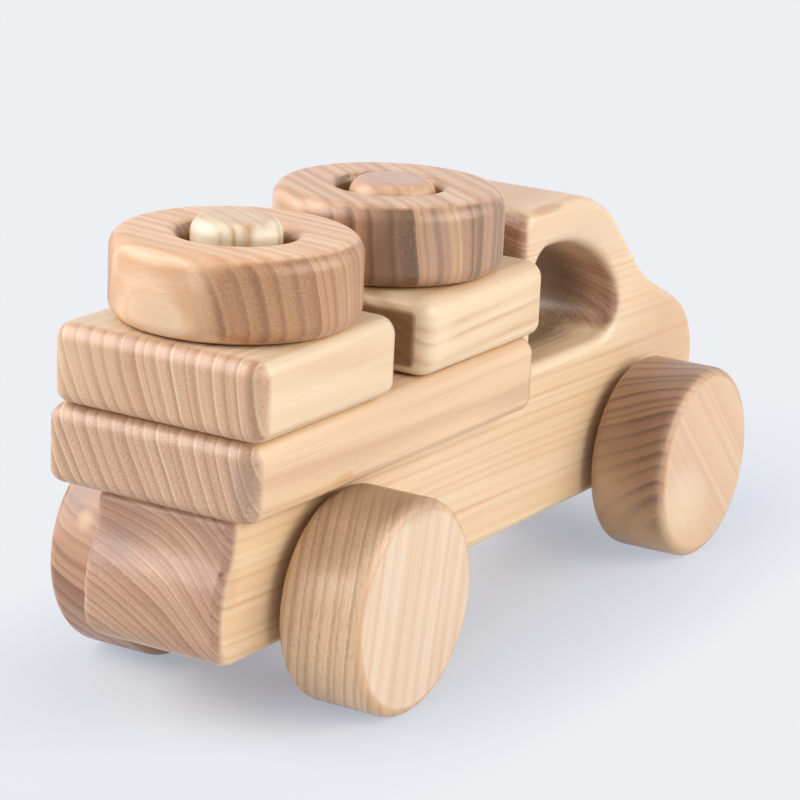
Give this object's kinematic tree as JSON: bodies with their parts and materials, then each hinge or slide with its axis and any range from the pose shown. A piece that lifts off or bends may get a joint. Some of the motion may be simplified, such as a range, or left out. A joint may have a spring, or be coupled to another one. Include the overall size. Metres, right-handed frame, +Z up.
{
  "type": "wooden stacking car",
  "caption": "Wooden push-along pick-up whose bed carries a plank, square plates and rings lifted off round pegs, with thick wheels on turning axles.",
  "frame": {"origin": "middle of the car's outline on the floor, midway between its ends and its sides", "axes": "+X forward, from the tail to the hood; +Y to the car's left; +Z up, along the pegs"},
  "size_m": [0.2398, 0.0908, 0.1186],
  "materials": {
    "body_wood": "oiled, satin",
    "plank_wood": "oiled, satin",
    "plate_wood": "oiled, satin",
    "ring_wood": "oiled, satin",
    "peg_wood": "oiled, satin",
    "wheel_wood": "oiled, satin",
    "axle_wood": "oiled, satin"
  },
  "bodies": {
    "car_body": {"body_block": "body_wood", "rear_peg": "peg_wood", "front_peg": "peg_wood"},
    "plank": {"long_plank": "plank_wood"},
    "rear_plate": {"rear_plate": "plate_wood"},
    "front_plate": {"front_plate": "plate_wood"},
    "rear_ring": {"rear_ring": "ring_wood"},
    "front_ring": {"front_ring": "ring_wood"},
    "rear_wheels": {"rear_axle": "axle_wood", "rear_left_wheel": "wheel_wood", "rear_right_wheel": "wheel_wood"},
    "front_wheels": {"front_axle": "axle_wood", "front_left_wheel": "wheel_wood", "front_right_wheel": "wheel_wood"}
  },
  "joints": [
    {"name": "rear_wheels_spin", "type": "hinge", "parent": "car_body", "child": "rear_wheels", "pos_m": [-0.07335, 0, 0.0268], "axis": [0, 1, 0], "continuous": true},
    {"name": "front_wheels_spin", "type": "hinge", "parent": "car_body", "child": "front_wheels", "pos_m": [0.08035, 0, 0.0268], "axis": [0, 1, 0], "continuous": true},
    {"name": "plank_lift", "type": "slide", "parent": "car_body", "child": "plank", "axis": [0, 0, 1], "range_m": [0, 0.07]},
    {"name": "rear_plate_lift", "type": "slide", "parent": "plank", "child": "rear_plate", "axis": [0, 0, 1], "range_m": [0, 0.05]},
    {"name": "front_plate_lift", "type": "slide", "parent": "plank", "child": "front_plate", "axis": [0, 0, 1], "range_m": [0, 0.05]},
    {"name": "rear_ring_lift", "type": "slide", "parent": "rear_plate", "child": "rear_ring", "axis": [0, 0, 1], "range_m": [0, 0.03]},
    {"name": "front_ring_lift", "type": "slide", "parent": "front_plate", "child": "front_ring", "axis": [0, 0, 1], "range_m": [0, 0.03]}
  ]
}
